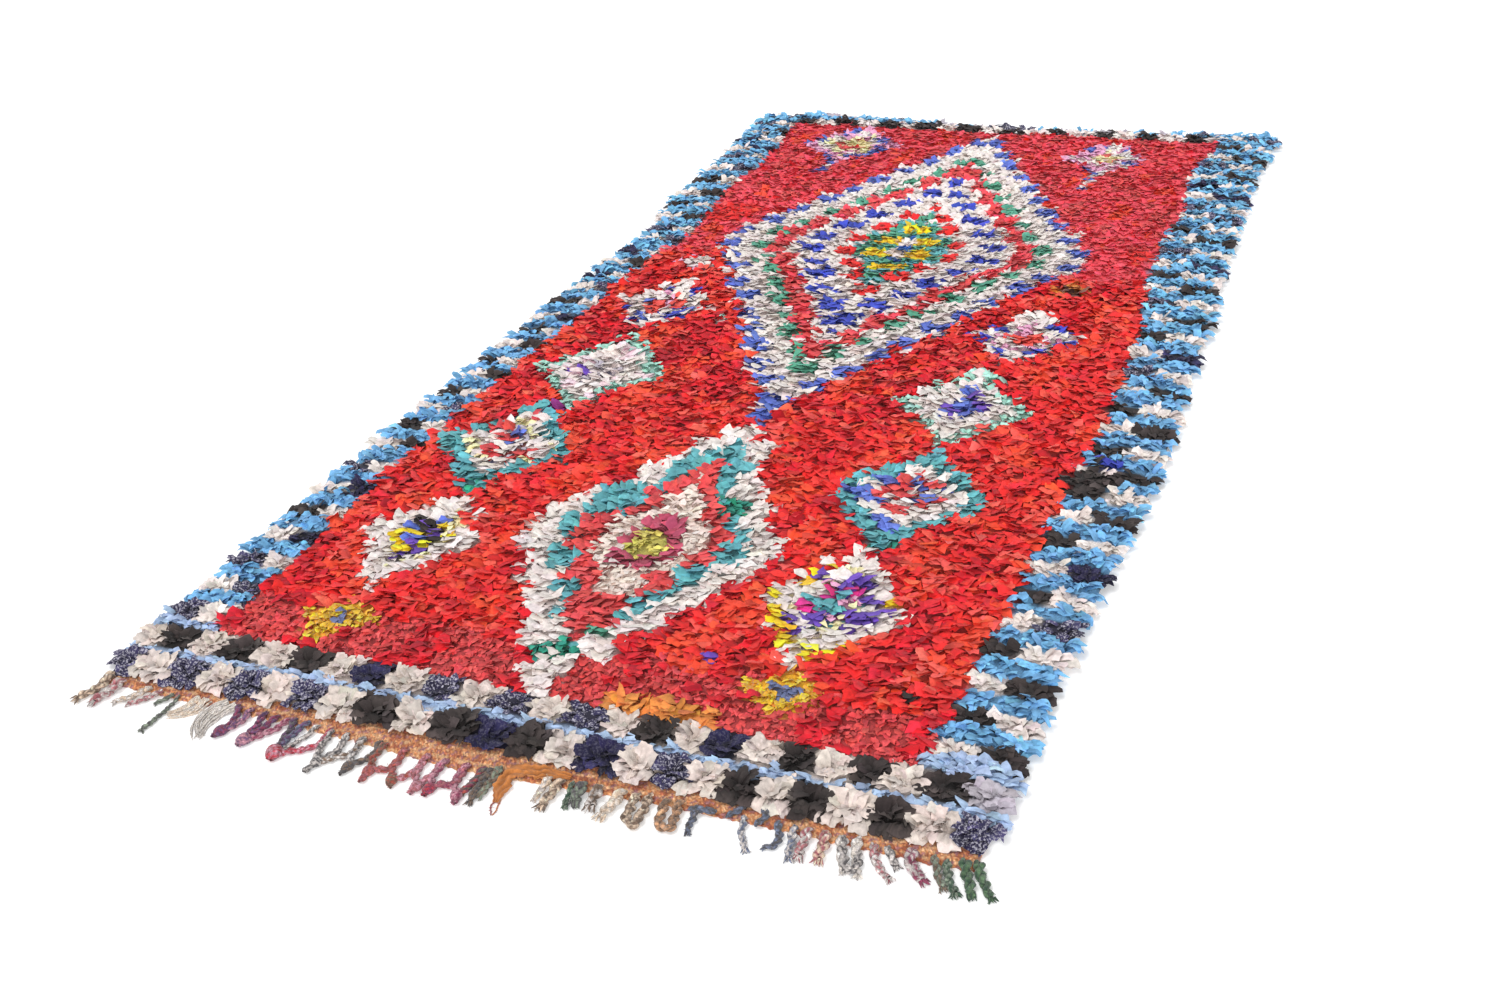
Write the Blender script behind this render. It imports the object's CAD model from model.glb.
"""A boucherouite rug: thousands of knotted rag ends on a woven ground, with a flat-woven end, its fringe
of plied warp ends and an orange rag threaded through it. Metres, +Z up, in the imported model's frame.
"""

import math

import bpy
import numpy as np
from mathutils import Matrix, Vector


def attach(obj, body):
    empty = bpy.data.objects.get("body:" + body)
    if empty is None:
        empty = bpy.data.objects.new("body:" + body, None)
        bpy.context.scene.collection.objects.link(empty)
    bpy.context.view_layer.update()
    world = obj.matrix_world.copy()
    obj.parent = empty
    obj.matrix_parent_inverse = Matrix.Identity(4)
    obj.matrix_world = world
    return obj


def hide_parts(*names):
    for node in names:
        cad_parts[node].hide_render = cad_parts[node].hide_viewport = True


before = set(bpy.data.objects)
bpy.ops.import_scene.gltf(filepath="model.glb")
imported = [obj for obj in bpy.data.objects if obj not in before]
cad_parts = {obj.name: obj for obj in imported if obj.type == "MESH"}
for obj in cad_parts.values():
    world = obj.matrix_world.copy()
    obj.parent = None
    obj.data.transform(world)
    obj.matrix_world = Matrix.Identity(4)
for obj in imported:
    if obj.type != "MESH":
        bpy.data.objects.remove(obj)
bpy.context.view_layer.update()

# The cloth's sides: how far along, then where the left and the right edge of the ground are
SIDES = np.array((
    # y, left, right
    (-1.27, -0.666, 0.655),
    (-1.05, -0.667, 0.658),
    (-0.80, -0.662, 0.657),
    (-0.55, -0.660, 0.674),
    (-0.30, -0.643, 0.681),
    (0.00, -0.635, 0.670),
    (0.25, -0.626, 0.662),
    (0.45, -0.592, 0.646),
    (0.65, -0.630, 0.641),
    (0.90, -0.630, 0.636),
    (1.10, -0.636, 0.630),
    (1.30, -0.645, 0.655),
))

# The cloth's ends: how far across, then the pile's front edge, the flat-woven end's edge and the far edge
ENDS = np.array((
    # x, front, weave, far
    (-0.66, -1.266, -1.292, 1.262),
    (-0.53, -1.268, -1.296, 1.298),
    (-0.38, -1.270, -1.297, 1.288),
    (-0.20, -1.271, -1.305, 1.273),
    (-0.05, -1.274, -1.316, 1.260),
    (0.10, -1.270, -1.309, 1.256),
    (0.25, -1.268, -1.301, 1.262),
    (0.45, -1.269, -1.302, 1.272),
    (0.60, -1.269, -1.305, 1.288),
    (0.66, -1.268, -1.300, 1.280),
))

# Where the side borders end and the red field begins
FIELD_SIDES = np.array((
    # y, left, right
    (-1.15, -0.565, 0.545),
    (-0.95, -0.555, 0.548),
    (-0.65, -0.568, 0.552),
    (-0.40, -0.552, 0.556),
    (-0.20, -0.548, 0.567),
    (0.00, -0.532, 0.558),
    (0.20, -0.528, 0.545),
    (0.40, -0.502, 0.520),
    (0.60, -0.520, 0.515),
    (0.80, -0.528, 0.524),
    (1.00, -0.520, 0.502),
    (1.22, -0.540, 0.525),
))
FIELD_FRONT = -1.155
FIELD_FAR = 1.222
FIELD_PARTS = (-0.45, 0.35)  # where the field's middle part begins and ends

# The far border: where its row of checks ends, where the first pair of checks begins, and a pair's width
FAR_ROW_END = 1.252
FAR_FROM = -0.547
FAR_PITCH = 0.11

# Blue bands of the side borders: their places, and the count of bands there from the front
LEFT_BANDS = np.array((
    # y, count
    (-1.235, -2),
    (-1.155, -1),
    (-1.08, 0),
    (-0.53, 7),
    (-0.185, 12),
    (0.245, 18),
    (0.655, 24),
    (0.915, 27),
    (1.30, 33),
))
RIGHT_BANDS = np.array((
    # y, count
    (-1.222, -2),
    (-1.148, -1),
    (-1.075, 0),
    (0.255, 18),
    (0.33, 19),
    (1.086, 31),
    (1.31, 34.5),
))
BAND_SHARE = 0.50  # of a row's height

# The two front rows of checks: where each row lies along, and where its checks lie across, left to right.
# The letters are the colours of the checks.
CHECK_COLOURS = {"c": "chalk", "b": "black", "n": "navy", "s": "speckled", "g": "grey"}
FRONT_ROWS = (
    # lowest y, highest y, middles of the checks, letters
    (
        -1.211,
        FIELD_FRONT,
        (
            -0.65, -0.60, -0.545, -0.485, -0.43, -0.375, -0.315, -0.26, -0.20,
            -0.145, -0.09, -0.035, 0.025, 0.085, 0.135, 0.19, 0.24, 0.285,
            0.335, 0.385, 0.435, 0.485, 0.53, 0.585, 0.64,
        ),
        "cbcbcbcncscscscbcncbcbcbg",
    ),
    (
        -1.400,
        -1.229,
        (
            -0.65, -0.60, -0.54, -0.485, -0.43, -0.38, -0.33, -0.27, -0.215,
            -0.15, -0.085, -0.03, 0.028, 0.085, 0.135, 0.19, 0.24, 0.285,
            0.33, 0.38, 0.43, 0.48, 0.535, 0.59, 0.65,
        ),
        "scscscscbcbnbcncscbcbcbcs",
    ),
)
FRONT_MIDDLE = -1.254  # the rosettes of the front row open from here, not from their row's own middle

# Cloth colours as seen in daylight, 0 to 255
COLOURS = {
    "red": (230, 38, 38),
    "orange_red": (244, 68, 42),
    "coral": (240, 80, 70),
    "crimson": (206, 24, 40),
    "dusky": (220, 74, 76),
    "rose": (236, 66, 82),
    "white": (233, 222, 218),
    "chalk": (213, 199, 191),
    "linen": (226, 215, 210),
    "cream": (240, 228, 178),
    "beige": (234, 218, 208),
    "grey": (190, 182, 192),
    "black": (62, 54, 53),
    "navy": (36, 33, 66),
    "speckled": (52, 48, 80),
    "sky": (112, 170, 214),
    "far_sky": (112, 174, 214),
    "periwinkle": (166, 188, 220),
    "outline": (92, 112, 198),
    "dusty_blue": (112, 122, 164),
    "royal": (62, 76, 186),
    "green": (86, 160, 134),
    "teal": (94, 168, 176),
    "deep_teal": (44, 142, 122),
    "mint": (166, 216, 202),
    "yellow": (240, 194, 24),
    "printed": (242, 182, 34),
    "moss": (206, 196, 100),
    "maroon": (180, 74, 98),
    "pink": (232, 166, 200),
    "blush": (238, 208, 216),
    "purple": (108, 74, 176),
    "plum": (128, 30, 110),
    "magenta": (206, 44, 132),
    "orange": (214, 132, 60),
    "rust": (214, 120, 40),
    "brown": (110, 70, 60),
    "deep_blue": (44, 96, 176),
    "russet": (150, 70, 58),
    "rosewood": (156, 92, 98),
    "dove": (196, 188, 184),
    "ash": (82, 78, 80),
    "sage": (118, 128, 112),
    "pine": (50, 76, 58),
    "leaf_yarn": (84, 110, 80),
    "fleece": (214, 204, 194),
    "umber": (112, 92, 78),
    "tan": (186, 140, 106),
    "beige_yarn": (206, 182, 160),
    "slate": (98, 106, 128),
    "rose_yarn": (186, 132, 146),
    "rag_orange": (208, 130, 66),
    "purple_yarn": (92, 62, 96),
    "wine": (130, 56, 82),
    "cherry": (160, 44, 58),
    "weft_orange": (200, 132, 86),
    "weft_peach": (214, 166, 124),
    "weft_rust": (160, 90, 64),
    "weft_pink": (156, 106, 108),
}
NAMES = list(COLOURS)
CODE = {name: i for i, name in enumerate(NAMES)}

# Colours whose rags are cut narrow or pleated, and how much of a rag the light print on it covers
BRUSHED = ("cream", "beige", "mint", "deep_teal", "moss", "grey", "pink")
PLEATED = ("printed", "dusty_blue")
PRINTED = {"speckled": 1.0, "printed": 0.30, "navy": 0.12}

# The small motifs. Where a ring has several colours, they take turns from patch to patch.
MOTIFS = (
    # x, y, half width, half height, colours of the rim, of the next ring and of the middle
    (-0.395, -1.068, 0.066, 0.056, "printed", "printed", "dusty_blue printed dusty_blue"),
    (0.318, -1.062, 0.066, 0.060, "printed", "printed", "dusty_blue printed dusty_blue"),
    (-0.395, -0.840, 0.105, 0.150, "white", "white cream", "purple black yellow outline"),
    (0.310, -0.850, 0.120, 0.150, "white white yellow", "cream purple white", "magenta teal purple pink"),
    (-0.410, -0.530, 0.130, 0.160, "teal", "cream white dusky white", "white outline dusky grey"),
    (-0.390, -0.665, 0.030, 0.045, "deep_teal", "deep_teal", "teal"),
    (0.325, -0.530, 0.130, 0.155, "teal", "white outline white", "dusky white outline dusky"),
    (0.328, -0.675, 0.028, 0.045, "teal", "deep_teal", "teal"),
    (-0.380, -0.220, 0.135, 0.160, "mint", "white blush", "white purple grey white"),
    (0.320, -0.210, 0.122, 0.155, "mint", "white", "purple white outline"),
    (-0.395, 0.085, 0.100, 0.130, "white royal white", "white outline white", "coral pink"),
    (0.355, 0.085, 0.100, 0.130, "white royal white", "white white pink", "coral pink"),
    (-0.410, 0.300, 0.050, 0.045, "pink", "pink white", "white"),
    (0.390, 0.305, 0.040, 0.038, "rust", "rust brown", "brown orange"),
    (-0.250, 0.040, 0.022, 0.026, "white", "mint", "white"),
    (-0.340, 1.090, 0.125, 0.135, "outline pink", "pink white cream", "cream dusky"),
    (-0.355, 0.955, 0.016, 0.035, "white", "outline", "white"),
    (-0.355, 0.900, 0.022, 0.024, "outline", "outline", "outline"),
    (0.290, 1.080, 0.100, 0.115, "pink outline white", "white pink", "cream coral white"),
    (0.285, 0.955, 0.012, 0.055, "white", "outline", "white"),
    (0.285, 0.880, 0.018, 0.020, "white", "outline", "outline"),
    (-0.385, -0.385, 0.018, 0.028, "plum", "plum", "plum"),
    (0.604, -0.350, 0.028, 0.026, "royal", "royal", "royal"),
    (0.588, -0.405, 0.050, 0.052, "black", "black", "black"),
    (0.190, -1.010, 0.016, 0.014, "purple", "purple", "plum"),
    (0.490, -1.040, 0.014, 0.012, "black", "black", "black"),
    (-0.412, -1.122, 0.022, 0.026, "printed", "printed", "printed"),
)
MOTIF_RINGS = (0.74, 0.42)  # radius at which the rim and the next ring end, as a share of the whole

# The large lozenge: its middle, its reach, and its rings from the outside in
LARGE_MIDDLE = (-0.010, 0.470)
LARGE_REACH = (0.422, 0.408, 0.732, 0.795)  # to the left, to the right, up and down
LARGE_RINGS = (
    # share of the reach, colour, colour between its checks if it has any
    (1.00, "outline", "white"),
    (0.90, "white", None),
    (0.80, "green", "white"),
    (0.72, "dusky", "rose"),
    (0.62, "white", None),
    (0.57, "royal", "white"),
    (0.44, "white", None),
    (0.37, "red", "white"),
    (0.27, "green", "teal"),
    (0.21, "yellow", "green"),
    (0.09, "white", "deep_blue"),
)

# The small lozenge: its middle, and each ring's own reach to the left, to the right, up and down
SMALL_MIDDLE = (-0.022, -0.762)
SMALL_RINGS = (
    # left, right, up, down, colour, colour between its checks if it has any
    (0.235, 0.222, 0.385, 0.390, "white", None),
    (0.162, 0.154, 0.318, 0.290, "teal", None),
    (0.150, 0.142, 0.250, 0.275, "dusky", None),
    (0.104, 0.098, 0.205, 0.185, "beige", None),
    (0.062, 0.062, 0.096, 0.092, "maroon", None),
)
SMALL_DETAILS = (
    # x, y, half width, half height, colour
    (-0.024, -0.766, 0.036, 0.042, "moss"),
    (-0.004, -0.385, 0.016, 0.030, "white"),
    (-0.062, -0.437, 0.034, 0.022, "white"),
    (0.028, -0.434, 0.028, 0.024, "white"),
    (-0.010, -0.460, 0.018, 0.045, "teal"),
    (-0.058, -0.518, 0.028, 0.030, "teal"),
    (0.022, -0.508, 0.024, 0.030, "teal"),
    (-0.022, -0.520, 0.013, 0.020, "dusky"),
    (-0.125, -0.645, 0.046, 0.046, "teal"),
    (0.062, -0.628, 0.028, 0.034, "deep_teal"),
    (-0.168, -0.745, 0.022, 0.030, "teal"),
    (0.114, -0.760, 0.028, 0.034, "teal"),
    (-0.130, -0.838, 0.026, 0.024, "teal"),
    (0.080, -0.820, 0.024, 0.028, "teal"),
    (-0.090, -0.908, 0.022, 0.024, "teal"),
    (0.034, -0.928, 0.022, 0.030, "teal"),
    (-0.022, -0.985, 0.030, 0.034, "dusky"),
    (0.006, -1.000, 0.014, 0.016, "green"),
    (-0.034, -1.060, 0.040, 0.026, "deep_teal"),
    (-0.030, -1.110, 0.030, 0.030, "white"),
    (-0.012, -1.140, 0.014, 0.020, "white"),
)

# The fringe's loose cords, from left to right
LOOSE_CORDS = (
    # colours of the two plies, width at the root and at the tip (mm), points of the route (mm)
    ("umber", "beige_yarn", 14, 11, ((-655, -1276), (-655, -1310), (-670, -1338))),
    ("rosewood", "dove", 15, 12, ((-628, -1286), (-632, -1312), (-641, -1338))),
    ("dove", "beige_yarn", 10, 8, ((-575, -1288), (-592, -1312), (-609, -1328))),
    ("dove", "rosewood", 9, 7, ((-554, -1290), (-570, -1312), (-587, -1328))),
    ("sage", "ash", 8, 6, ((-532, -1292), (-540, -1304), (-548, -1313))),
    ("sage", "ash", 5, 7, ((-523, -1290), (-523, -1340), (-526, -1371))),
    ("umber", "ash", 10, 8, ((-6, -1306), (-9, -1332), (-13, -1356))),
    ("umber", "ash", 11, 9, ((4, -1306), (2, -1340), (5, -1370))),
    ("sage", "umber", 11, 9, ((14, -1300), (13, -1330), (12, -1356))),
    ("beige_yarn", "dove", 12, 6, ((86, -1300), (85, -1322), (83, -1341))),
    ("umber", "beige_yarn", 13, 11, ((104, -1300), (102, -1326), (100, -1350))),
    ("pine", "sage", 8, 7, ((119, -1298), (124, -1320), (128, -1341))),
    ("ash", "sage", 15, 13, ((135, -1298), (136, -1316), (138, -1332))),
    ("umber", "dove", 15, 12, ((158, -1298), (159, -1318), (161, -1334))),
    ("beige_yarn", "fleece", 15, 12, ((191, -1296), (188, -1322), (183, -1344))),
    ("slate", "ash", 9, 7, ((293, -1294), (296, -1318), (299, -1341))),
    ("slate", "dove", 8, 7, ((358, -1294), (364, -1322), (380, -1348))),
    ("slate", "ash", 9, 8, ((400, -1292), (412, -1318), (411, -1334), (402, -1336))),
    ("slate", "dove", 10, 8, ((424, -1294), (430, -1322), (435, -1347))),
    ("rosewood", "dove", 12, 10, ((444, -1294), (444, -1318), (446, -1341))),
    ("rosewood", "beige_yarn", 13, 11, ((467, -1294), (469, -1318), (471, -1340))),
    ("dove", "fleece", 9, 7, ((484, -1294), (494, -1324), (506, -1350))),
    ("fleece", "dove", 12, 8, ((505, -1294), (514, -1324), (524, -1351))),
    ("dove", "rosewood", 10, 8, ((526, -1296), (539, -1324), (561, -1346))),
    ("ash", "dove", 10, 8, ((544, -1296), (553, -1310), (564, -1322))),
    ("wine", "dove", 15, 11, ((574, -1294), (584, -1322), (601, -1337))),
    ("umber", "sage", 9, 8, ((602, -1294), (613, -1318), (626, -1341))),
    ("pine", "sage", 10, 9, ((619, -1298), (629, -1326), (642, -1346))),
    ("pine", "leaf_yarn", 13, 10, ((637, -1292), (651, -1320), (661, -1342))),
    ("pine", "leaf_yarn", 12, 9, ((653, -1290), (668, -1318), (684, -1341))),
)
# Locks of unspun wool, in the same columns
LOCKS = (
    ("fleece", "beige_yarn", 12, 7, ((-476, -1288), (-480, -1308), (-494, -1324), (-514, -1334))),
    ("fleece", "beige_yarn", 10, 6, ((-490, -1288), (-499, -1306), (-508, -1320), (-520, -1328))),
    ("fleece", "dove", 16, 14, ((-440, -1286), (-458, -1308), (-456, -1334), (-434, -1364))),
    ("fleece", "dove", 12, 8, ((-426, -1288), (-440, -1312), (-442, -1338), (-436, -1366))),
)
# Reddish threads at the tip of the orange rag
RAG_STRANDS = (
    ("russet", "rosewood", 2.6, 1.6, ((36, -1354), (35, -1366), (40, -1378), (43, -1383))),
    ("russet", "rag_orange", 2.4, 1.6, ((40, -1352), (44, -1364), (45, -1374), (44, -1382))),
)
# Uncut loops, and short cords that lie on the weave
LOOP_CORDS = (
    ("umber", "beige_yarn", 11, 11,
     ((212, -1296), (212, -1322), (219, -1345), (229, -1350), (230, -1326), (229, -1296))),
    ("tan", "umber", 11, 11,
     ((252, -1294), (255, -1322), (266, -1344), (275, -1342), (273, -1318), (270, -1294))),
    ("dove", "ash", 10, 10,
     ((488, -1294), (500, -1330), (515, -1349), (519, -1338), (510, -1310), (506, -1294))),
    ("slate", "ash", 8, 8, ((335, -1303), (345, -1292), (350, -1276))),
    ("slate", "ash", 9, 9, ((284, -1302), (300, -1302), (321, -1299))),
    ("slate", "ash", 8, 8, ((375, -1272), (383, -1293), (377, -1307))),
)

# The netted stretch: each leg runs from the weave to its knot
NET_LEGS = (
    ("purple_yarn", "wine", 9, 9, ((-420, -1286), (-408, -1318), (-411, -1340))),
    ("purple_yarn", "rose_yarn", 9, 9, ((-396, -1288), (-398, -1322), (-410, -1342))),
    ("purple_yarn", "wine", 9, 9, ((-372, -1288), (-369, -1318), (-368, -1344))),
    ("purple_yarn", "wine", 9, 9, ((-349, -1290), (-356, -1318), (-366, -1346))),
    ("wine", "rose_yarn", 9, 9, ((-325, -1290), (-344, -1326), (-363, -1348))),
    ("purple_yarn", "ash", 9, 9, ((-320, -1290), (-314, -1326), (-308, -1356))),
    ("purple_yarn", "slate", 9, 9, ((-298, -1290), (-307, -1326), (-306, -1358))),
    ("ash", "dove", 7, 7, ((-280, -1292), (-292, -1332), (-304, -1358))),
    ("cherry", "rose_yarn", 9, 9, ((-258, -1294), (-258, -1328), (-294, -1356), (-304, -1362))),
    ("ash", "dove", 9, 9, ((-255, -1296), (-251, -1334), (-240, -1358))),
    ("ash", "dove", 9, 9, ((-230, -1296), (-226, -1338), (-237, -1358))),
    ("umber", "dove", 9, 9, ((-203, -1298), (-202, -1330), (-222, -1348), (-236, -1360))),
    ("ash", "dove", 9, 9, ((-201, -1298), (-200, -1332), (-192, -1352))),
    ("umber", "ash", 9, 9, ((-175, -1298), (-173, -1332), (-184, -1346), (-190, -1354))),
    ("russet", "umber", 9, 9, ((-164, -1300), (-168, -1326), (-160, -1350))),
    ("russet", "rosewood", 9, 9, ((-134, -1302), (-134, -1344), (-150, -1350), (-157, -1354))),
    ("russet", "rosewood", 9, 9, ((-131, -1302), (-130, -1342), (-118, -1360))),
    ("russet", "rose_yarn", 9, 9, ((-97, -1304), (-97, -1338), (-108, -1356), (-116, -1362))),
    ("rosewood", "rose_yarn", 9, 9, ((-95, -1304), (-94, -1338), (-80, -1362))),
    ("rosewood", "rose_yarn", 9, 9, ((-69, -1306), (-70, -1336), (-77, -1362))),
    ("wine", "rose_yarn", 9, 9, ((-64, -1306), (-68, -1338), (-60, -1360))),
    ("wine", "rosewood", 9, 9, ((-34, -1306), (-36, -1348), (-50, -1352), (-58, -1362))),
    ("wine", "rose_yarn", 9, 9, ((-32, -1306), (-34, -1342), (-18, -1362))),
    ("wine", "russet", 9, 9, ((-9, -1306), (-9, -1340), (-16, -1362))),
)
# Its knots
NET_KNOTS = (
    # colours of the two plies, x and y of the middle, size, tip of the short tail (mm)
    ("purple_yarn", "wine", -411, -1343, 19, (-416, -1356)),
    ("purple_yarn", "rose_yarn", -366, -1350, 21, (-370, -1362)),
    ("cherry", "rose_yarn", -306, -1362, 24, (-304, -1376)),
    ("ash", "dove", -238, -1361, 17, (-243, -1383)),
    ("ash", "umber", -191, -1357, 16, (-193, -1373)),
    ("russet", "rosewood", -158, -1357, 17, (-158, -1378)),
    ("russet", "umber", -117, -1364, 17, (-113, -1376)),
    ("rosewood", "rose_yarn", -78, -1366, 17, (-80, -1380)),
    ("wine", "cherry", -59, -1365, 17, (-61, -1378)),
    ("wine", "rose_yarn", -17, -1366, 17, (-12, -1380)),
)
# The cords that run level between two knots
NET_BARS = (
    ("russet", "rosewood", 7, 7, ((-156, -1352), (-146, -1350), (-134, -1346))),
    ("wine", "rosewood", 7, 7, ((-54, -1354), (-44, -1352), (-34, -1350))),
)

# The orange rag: its middle line, its underside and its half width
RAG = (
    # x, y, z, half width
    (0.112, -1.2915, 0.0046, 0.0050),
    (0.098, -1.2935, 0.0050, 0.0086),
    (0.080, -1.2950, 0.0050, 0.0112),
    (0.062, -1.2960, 0.0050, 0.0124),
    (0.046, -1.2985, 0.0050, 0.0126),
    (0.034, -1.3060, 0.0046, 0.0112),
    (0.030, -1.3190, 0.0036, 0.0098),
    (0.032, -1.3330, 0.0014, 0.0106),
    (0.035, -1.3470, 0.0006, 0.0084),
    (0.038, -1.3600, 0.0006, 0.0036),
)

# Driving sizes of the pile
GROUND_TOP = 0.0045
PACKED_TOP = 0.0155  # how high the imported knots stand
TALLEST = 0.036  # above this the rags are pressed down
PRESSED_DOWN = 0.3  # to this share of their height above it
TURNED_UP = 0.15  # a rag that would sink below what it lies on is turned up by this share of that depth
RIM_WIDTH = 0.020  # how far in from the cloth's edges the pile falls off
OVERHANG = 0.010  # how far the middle of a rag may lie past the ground's edge
KNOT_ZONES = (
    # up to this far along, from one row of knots to the next, from one knot to the next in a row
    (-1.04, 0.0165, 0.0150),
    (0.35, 0.0195, 0.0170),
    (1.40, 0.0175, 0.0155),
)
FIRST_ROW = -1.2825  # how far along the first row of knots shows
FINE_FROM = 0.35  # how far along the smaller knots begin
OUTWARD = 0.45  # how far a motif's rags turn outwards
FADED = 0.13  # how far the most faded rags have gone towards pale
LARGE_STEP = 0.070  # height of the steps in the lozenges' edges
SMALL_STEP = 0.075

# Driving sizes of the ground and the flat-woven end
GROUND_FROM = -1.266
GROUND_LENGTH = 2.55
GROUND_INSET = 0.010  # how far behind the pile's front edge the ground ends
WEAVE_HALF = 0.654
WEAVE_UNDER = 0.026  # how far the flat-woven end runs under the pile
WEAVE_TOP = 0.0048
WEFTS = 9
WARP_PITCH = 0.0075
RAG_THICKNESS = 0.0009

# Driving sizes of the fringe
UP = np.array((0.0, 0.0, 1.0))
LOWEST = 0.0004  # the lowest that any strand lies
FLOOR_GAP = 0.0012  # how far above the floor the lowest rags and the wool lie
ON_WEAVE = 0.0034  # how much higher a cord lies on the weave than on the floor
CORD_STEP = 0.0022
CORD_SCALE = 1.32  # how much wider than in its table a cord is, for its loose fibres
KNOT_SCALE = 1.15  # and a knot
PLY_SIDES = 6
FLECKS = 0.42  # how much of a ply is flecked with the other ply's colour
FRAYED_ENDS = 11
STRAY_FIBRES = 18
LOCK_STEP = 0.0024
LOCK_STRANDS = 17

# The kinds of rag: how they are cut and how they fall
KINDS = {
    # least and most length and width (mm), then rise at the knot and tip at the end, each with its spread
    # (degrees), crease (mm), spread of the headings (degrees), ends to a knot, rows and columns of points
    "petal": ((34, 44), (18, 30), (76, 9), (-22, 15), 1.5, 34, 3, (5, 4)),
    "leaf": ((36, 46), (18, 28), (68, 9), (-18, 12), 0.8, 26, 3, (5, 4)),
    "fine": ((25, 32), (15, 24), (72, 8), (-20, 12), 0.9, 30, 3, (4, 4)),
    "brush": ((33, 42), (8, 13), (74, 9), (-22, 16), 1.0, 28, 3, (5, 3)),
    "pleat": ((28, 35), (7, 13), (80, 6), (-28, 16), 1.4, 30, 4, (4, 4)),
    "ribbon": ((26, 36), (8, 14), (58, 9), (-12, 12), 1.2, 16, 4, (4, 4)),
    "band": ((30, 40), (9, 15), (74, 9), (-16, 14), 1.7, 26, 3, (5, 4)),
    "rosette": ((30, 39), (17, 27), (78, 9), (-18, 18), 2.4, 30, 2, (5, 6)),
    "ruffle": ((29, 37), (11, 19), (76, 9), (-20, 18), 1.8, 30, 3, (5, 4)),
}
SHOWN = 0.44  # how far from its knot the shown middle of a rag is, as a share of its length
CHECK_SHARE = 0.92  # how much of its check a rosette's middles fill

# The regions of the design, each a piece of its own
REGIONS = (
    "field_near", "field_middle", "field_far",
    "large_lozenge", "small_lozenge", "side_motifs",
    "border_left", "border_right", "border_front", "border_far",
)

# The cloths
CLOTHS = {
    # roughness, scale and depth (m) of the wrinkles, sheen, scale and depth of the mottling
    "rag_cloth": (0.9, 300.0, 0.0012, 0.05, 110.0, 0.26),
    "plied_yarn": (0.95, 900.0, 0.0006, 0.25, 620.0, 0.45),
    "woven_cotton": (0.95, 900.0, 0.0004, 0.15, 420.0, 0.35),
    "orange_jersey": (0.85, 500.0, 0.0005, 0.2, 160.0, 0.20),
}
PRINT_COLOUR = (0.46, 0.44, 0.52, 1)  # of the light print on dark rags, linear

# The studio
WALL_RADIUS = 18.0
WALL_HEIGHT = 3.2
FLOOR_GLOW = 0.14
WALL_GLOW = 0.40
SKY = 0.56
SUNS = (
    # name, place that it shines from, strength, how soft it is in degrees
    ("key", (-0.9, -0.9, 3.2), 1.25, 34),
    ("front", (1.1, -2.4, 1.6), 1.50, 24),
)
CAMERA_PLACE = (1.0916, -2.7505, 1.4049)
CAMERA_LENS = 40.9  # mm, on a sensor 36 mm wide
CAMERA_RIGHT = Vector((0.92126, 0.37987, -0.08357))
CAMERA_UP = Vector((-0.12582, 0.49436, 0.86010))
CAMERA_AHEAD = Vector((-0.36804, 0.78186, -0.50323))


def table(rows, at, column):
    """The value of a table's column at each place between its rows."""
    return np.interp(at, rows[:, 0], rows[:, column])


def drift(x, y, seed, size):
    """Smooth uneven values, mostly from -1 to 1, that change over about that many metres."""
    rng = np.random.default_rng(seed)
    total = np.zeros_like(x)
    for _ in range(9):
        angle = rng.uniform(0, 2 * math.pi)
        phase = rng.uniform(0, 2 * math.pi)
        wave = size * rng.uniform(0.6, 1.8)
        total += np.sin((x * math.cos(angle) + y * math.sin(angle)) * 2 * math.pi / wave + phase)
    return total / 3


def patch(x, y, size, seed):
    """A value from 0 to 1 that is the same all over each square patch of that size."""
    value = np.sin(np.floor(x / size) * 12.9898 + np.floor(y / size) * 78.233 + seed * 3.7) * 43758.5453
    return value - np.floor(value)


def linear(colour):
    """A colour of 0 to 255 as the linear values that a shader takes."""
    share = np.asarray(colour, float) / 255
    return np.where(share <= 0.04045, share / 12.92, ((share + 0.055) / 1.055) ** 2.4)


PALETTE = linear(list(COLOURS.values()))


def distances(points):
    """How far along a line each of its points lies."""
    return np.concatenate([[0], np.cumsum(np.linalg.norm(np.diff(points, axis=0), axis=1))])


def directions(line):
    """The way ahead and the way to the left at each point of a flat line."""
    ahead = np.gradient(line, axis=0)
    ahead /= np.linalg.norm(ahead, axis=1)[:, None]
    return ahead, np.stack([-ahead[:, 1], ahead[:, 0]], -1)


def turn_between(heading, goal):
    """The turn from one heading to another, from -180 to 180 degrees."""
    return (goal - heading + 180) % 360 - 180


class Chart:
    """The colour and the region of each place, and the middle of the check or the motif that it is in."""

    def __init__(self, x, y):
        self.x = x
        self.y = y
        self.code = np.zeros(len(x), int)
        self.region = np.zeros(len(x), int)
        self.middle = np.full((len(x), 2), np.nan)
        self.heart = np.full((len(x), 2), np.nan)

    def paint(self, where, name):
        """One colour over these places."""
        self.code[where] = CODE[name]

    def paint_mixed(self, where, names, size, seed):
        """Colours that take turns from patch to patch."""
        names = names.split()
        pick = (patch(self.x, self.y, size, seed) * len(names)).astype(int)
        for i, name in enumerate(names):
            self.paint(where & (pick == i), name)


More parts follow.
